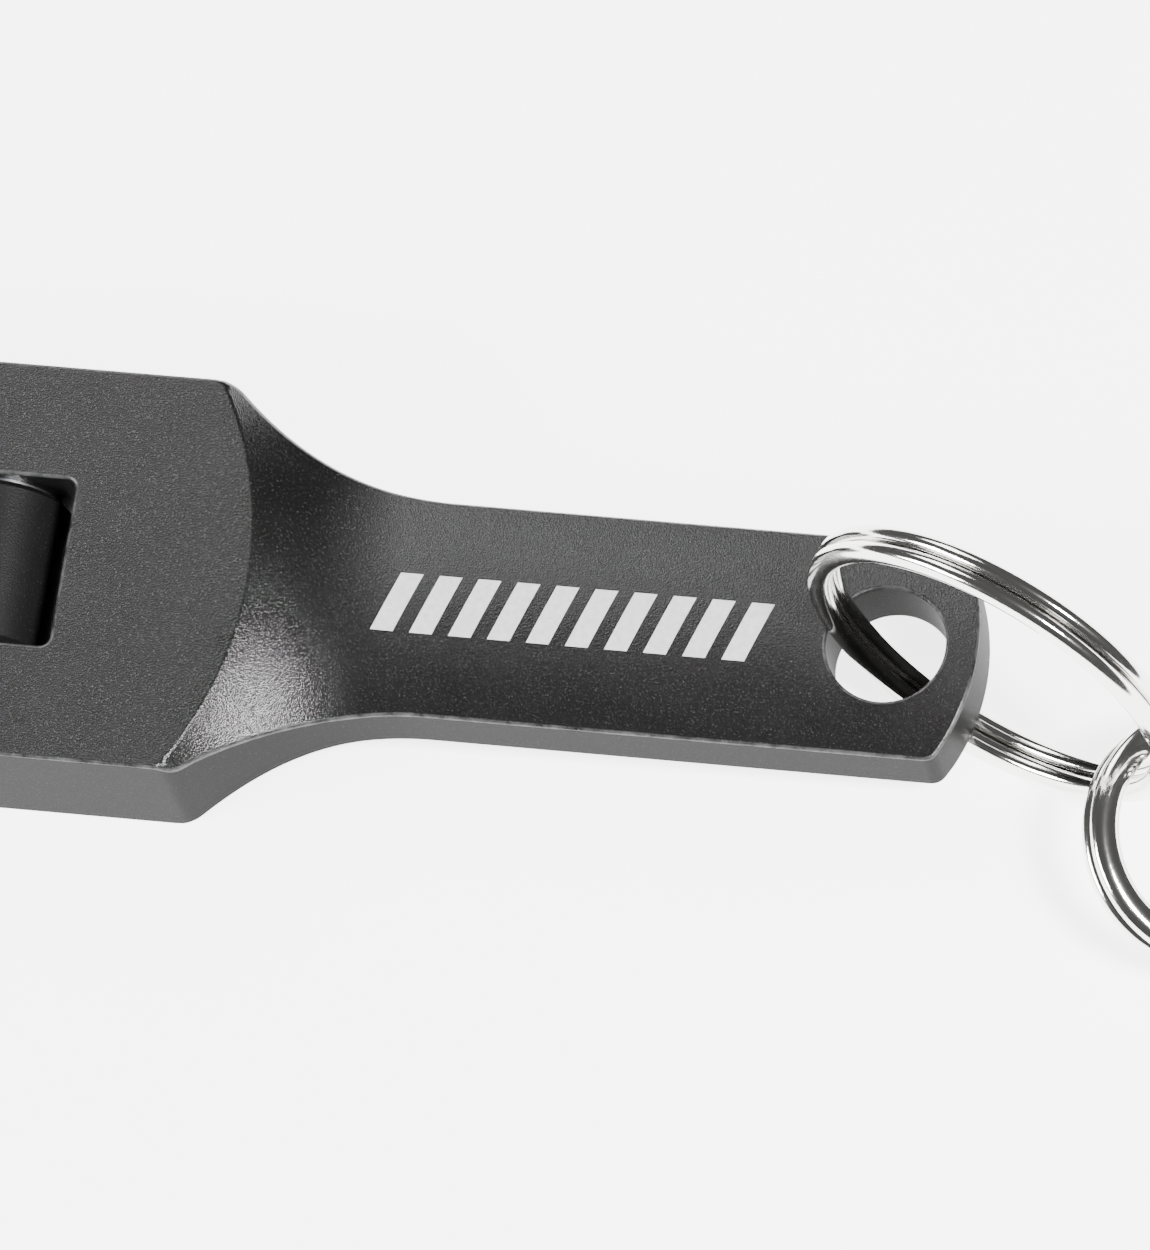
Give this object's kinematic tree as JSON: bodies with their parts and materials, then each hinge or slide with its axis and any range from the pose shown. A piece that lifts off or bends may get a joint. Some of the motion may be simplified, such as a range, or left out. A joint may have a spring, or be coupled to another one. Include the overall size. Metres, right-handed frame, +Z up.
{
  "type": "keychain bottle opener",
  "caption": "Wrench-shaped pocket bottle opener with a cap-lifting mouth, a roller in its head, a drilled tail, and two linked split rings.",
  "frame": {"origin": "on the underside of the head, on the centre line, between the window and the neck", "axes": "+X along the handle to the key ring, +Y across the head, +Z up through the thickness"},
  "size_m": [0.1181, 0.0337, 0.0278],
  "materials": {
    "black_anodised": "bead-blasted, black anodised",
    "black_roller": "fine bead-blasted, black anodised",
    "pin_steel": "turned",
    "washer_steel": "rolled",
    "nickel": "polished nickel plate"
  },
  "bodies": {
    "opener": {"body": "black_anodised", "roller_pin": "pin_steel", "thrust_washers": "washer_steel"},
    "roller": {"roller": "black_roller"},
    "split_ring": {"split_ring": "nickel"},
    "link_ring": {"link_ring": "nickel"}
  },
  "joints": [
    {"name": "roller_spin", "type": "hinge", "parent": "opener", "child": "roller", "pos_m": [-0.0122, 0, 0.0052], "axis": [0, 1, 0], "continuous": true},
    {"name": "ring_swing", "type": "hinge", "parent": "opener", "child": "split_ring", "pos_m": [0.0538, 0, 0.006], "axis": [0.3635, 0.9275, -0.0872], "range_deg": [0, 95]},
    {"name": "link_swing", "type": "hinge", "parent": "split_ring", "child": "link_ring", "pos_m": [0.06879, -0.00761, 0.00807], "axis": [0.4475, -0.0918, 0.8896], "range_deg": [-10, 35]}
  ]
}
